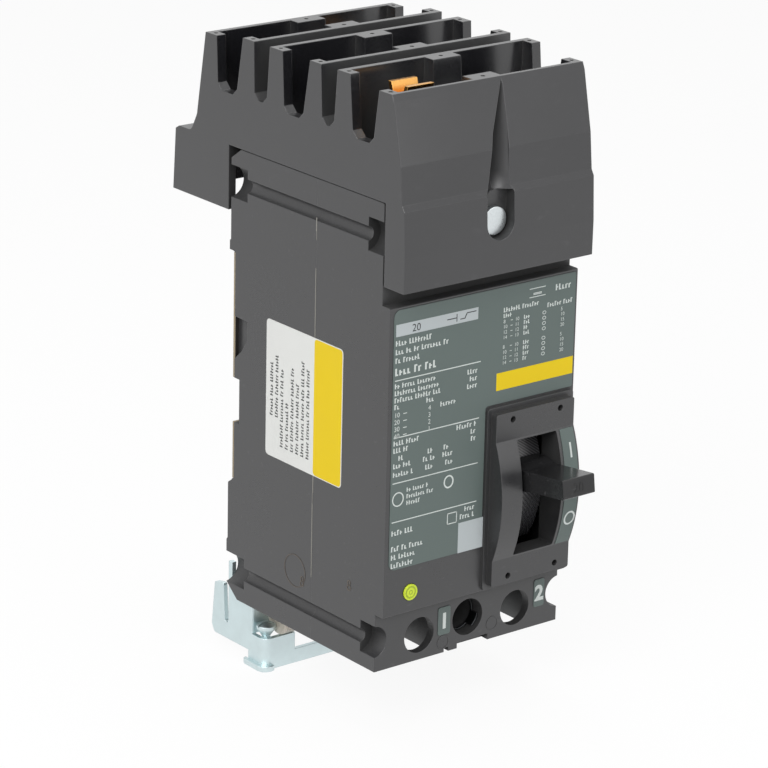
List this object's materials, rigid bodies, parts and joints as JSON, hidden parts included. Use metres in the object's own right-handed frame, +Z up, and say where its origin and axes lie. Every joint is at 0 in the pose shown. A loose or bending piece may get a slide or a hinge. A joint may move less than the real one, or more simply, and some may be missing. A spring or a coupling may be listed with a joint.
{
  "type": "two-pole moulded-case circuit breaker",
  "caption": "Two-pole plug-on moulded-case breaker: finned bus-jaw housing on top, toggle handle in a raised window, screw lugs at the load end and a hooked bracket below.",
  "frame": {"origin": "bottom centre of the whole breaker's bounding box", "axes": "+X to the right seen from the front, +Y from the front face to the back, +Z up towards the line end"},
  "size_m": [0.0756, 0.1404, 0.2131],
  "materials": {
    "charcoal_case": "fine satin moulding",
    "housing_plastic": "fine satin moulding",
    "lever_plastic": "polished moulding",
    "bar_plastic": "moulded phenolic",
    "button_plastic": "yellow-green moulding",
    "copper": "bare rolled strip",
    "braided_copper": "woven",
    "silver_contact": "silver alloy",
    "spring_steel": "oil-tempered",
    "plated_steel": "zinc plated",
    "bimetal": "rolled",
    "zinc_plate": "bright zinc plated",
    "screw_steel": "plated",
    "lug_aluminium": "tin plated",
    "fibre": "vulcanised fibre",
    "grey_green_label": "printed film",
    "paper_label": "printed paper",
    "pale_plastic": "natural nylon"
  },
  "bodies": {
    "case": {"cover": "charcoal_case", "base": "charcoal_case", "jaw_housing": "housing_plastic", "bus_jaw_left": "copper", "bus_jaw_right": "copper", "line_conductor_left": "copper", "line_conductor_right": "copper", "load_conductor_left": "copper", "load_conductor_right": "copper", "braid_left": "braided_copper", "braid_right": "braided_copper", "fixed_contact_left": "silver_contact", "fixed_contact_right": "silver_contact", "jaw_spring_left": "spring_steel", "jaw_spring_right": "spring_steel", "trip_bar_spring": "spring_steel", "mechanism_frame": "plated_steel", "frame_pins": "plated_steel", "magnet_yoke_left": "plated_steel", "magnet_yoke_right": "plated_steel", "arc_plates_left": "plated_steel", "arc_plates_right": "plated_steel", "bimetal_left": "bimetal", "bimetal_right": "bimetal", "mounting_bracket": "zinc_plate", "mounting_hole_clip": "zinc_plate", "clamp_screw": "zinc_plate", "bracket_screws": "zinc_plate", "housing_screw": "screw_steel", "cover_screws": "screw_steel", "lug_left": "lug_aluminium", "lug_right": "lug_aluminium", "back_insulator": "fibre", "arc_chute_walls_left": "fibre", "arc_chute_walls_right": "fibre", "front_label": "grey_green_label", "pole_labels": "grey_green_label", "position_labels": "grey_green_label", "side_sticker": "paper_label", "bracket_bushing": "pale_plastic"},
    "handle": {"handle": "lever_plastic", "handle_shutter": "lever_plastic", "handle_yoke": "plated_steel", "toggle_springs": "spring_steel"},
    "contact_crossbar": {"crossbar": "bar_plastic", "contact_arm_left": "copper", "contact_arm_right": "copper", "moving_contact_left": "silver_contact", "moving_contact_right": "silver_contact", "lower_link": "plated_steel", "link_pins": "plated_steel"},
    "upper_toggle_link": {"upper_link": "plated_steel"},
    "latch_cradle": {"cradle": "plated_steel"},
    "trip_bar": {"trip_bar": "bar_plastic", "armature_left": "plated_steel", "armature_right": "plated_steel"},
    "trip_button": {"trip_button": "button_plastic", "trip_button_spring": "spring_steel"},
    "lug_screw_left": {"lug_screw_left": "screw_steel"},
    "lug_screw_right": {"lug_screw_right": "screw_steel"}
  },
  "joints": [
    {"name": "handle_pivot", "type": "hinge", "parent": "case", "child": "handle", "pos_m": [0.01988, -0.00695, 0.0736], "axis": [1, 0, 0], "range_deg": [-11, 26]},
    {"name": "crossbar_pivot", "type": "hinge", "parent": "case", "child": "contact_crossbar", "pos_m": [0.00007, 0.01105, 0.1026], "axis": [1, 0, 0], "range_deg": [-8.8, 20.8]},
    {"name": "upper_link_pivot", "type": "hinge", "parent": "case", "child": "upper_toggle_link", "pos_m": [0.01988, -0.01795, 0.1176], "axis": [1, 0, 0], "range_deg": [-31.2, 13.2]},
    {"name": "cradle_pivot", "type": "hinge", "parent": "case", "child": "latch_cradle", "pos_m": [0.01988, -0.01795, 0.1176], "axis": [1, 0, 0], "range_deg": [0, 6]},
    {"name": "trip_bar_pivot", "type": "hinge", "parent": "case", "child": "trip_bar", "pos_m": [0.00007, -0.00095, 0.0566], "axis": [1, 0, 0], "range_deg": [0, 14], "stiffness_Nm_per_rad": 0.04, "springref_deg": -5.73},
    {"name": "trip_button_slide", "type": "slide", "parent": "case", "child": "trip_button", "axis": [0, 1, 0], "range_m": [0, 0.002]},
    {"name": "lug_screw_left_travel", "type": "slide", "parent": "case", "child": "lug_screw_left", "axis": [0, 1, 0], "range_m": [0, 0.004]},
    {"name": "lug_screw_right_travel", "type": "slide", "parent": "case", "child": "lug_screw_right", "axis": [0, 1, 0], "range_m": [0, 0.004]}
  ],
  "couplings": [
    {"joint": "crossbar_pivot", "follows": "handle_pivot", "ratio": 0.8},
    {"joint": "upper_link_pivot", "follows": "handle_pivot", "ratio": -1.2},
    {"joint": "trip_button_slide", "follows": "trip_bar_pivot", "m_per_rad": 0.0076}
  ]
}
